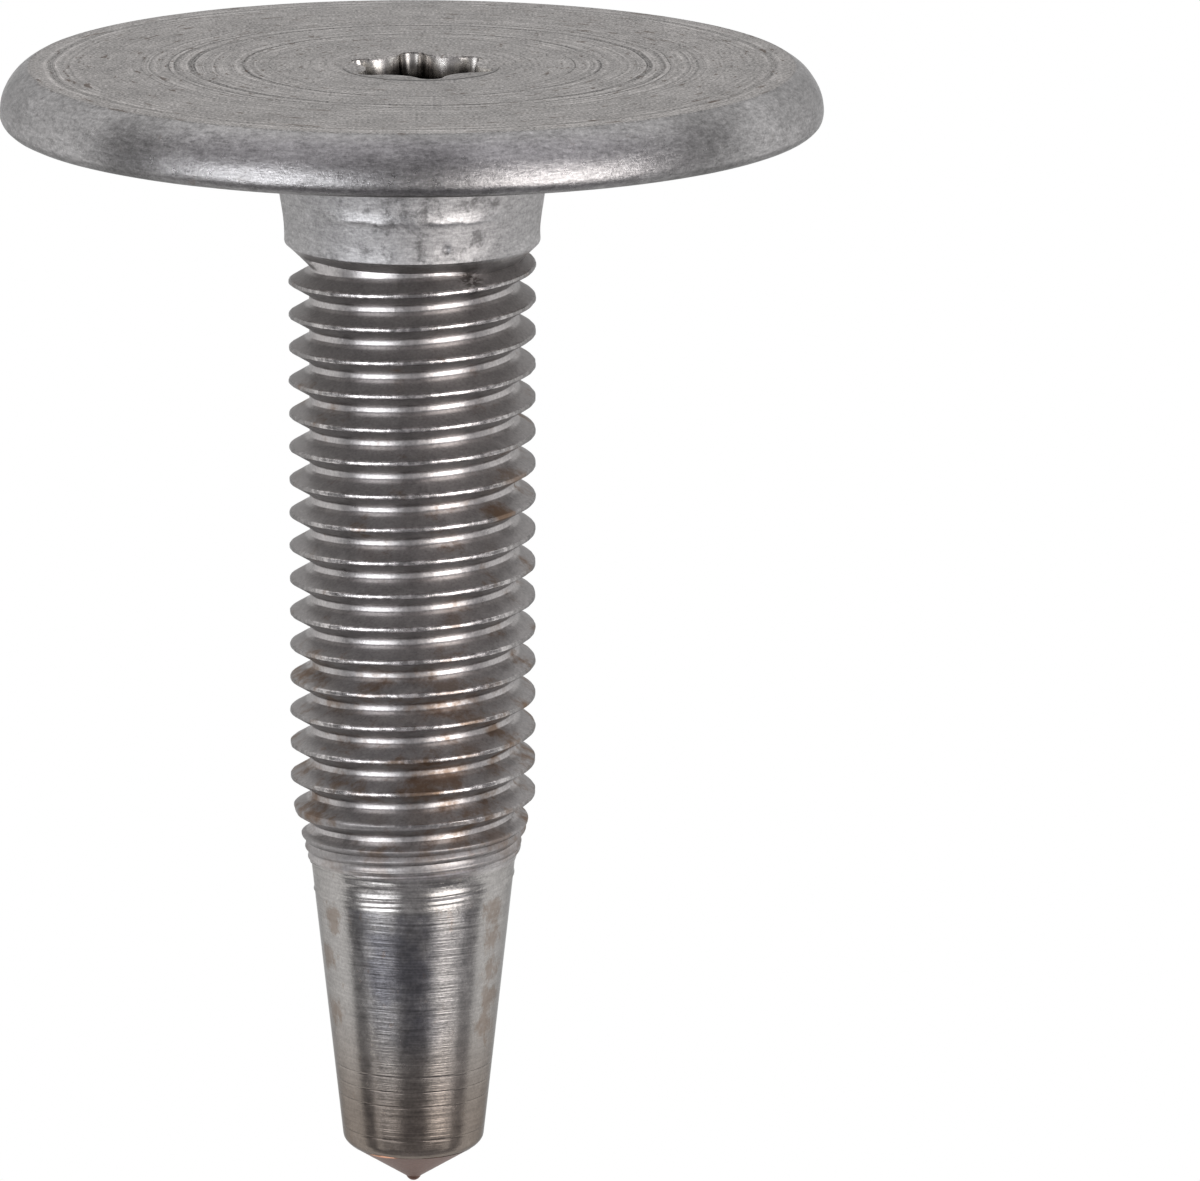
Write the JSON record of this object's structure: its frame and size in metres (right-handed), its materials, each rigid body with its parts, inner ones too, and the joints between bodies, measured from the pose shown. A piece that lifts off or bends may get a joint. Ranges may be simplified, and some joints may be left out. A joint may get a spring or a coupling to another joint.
{
  "type": "carbide traction stud",
  "caption": "Threaded steel traction stud with a wide flat head, a six-lobe drive recess, a tapered collar and a slender nose tipped with a brazed carbide point.",
  "frame": {"origin": "centre of the head's flat outer face, on the axis of the shank, which is also the middle of the bounding box's underside", "axes": "+Z along the shank from the head to the carbide point; the drive recess is formed 0.28 mm off the axis towards -X"},
  "size_m": [0.0256, 0.0256, 0.036],
  "materials": {
    "steel": "turned and rolled bare steel, satin, with small brown stains",
    "carbide": "as-sintered cemented carbide, dark and matt"
  },
  "bodies": {
    "root": {"stud_body": "steel", "carbide_pin": "carbide"}
  },
  "joints": []
}
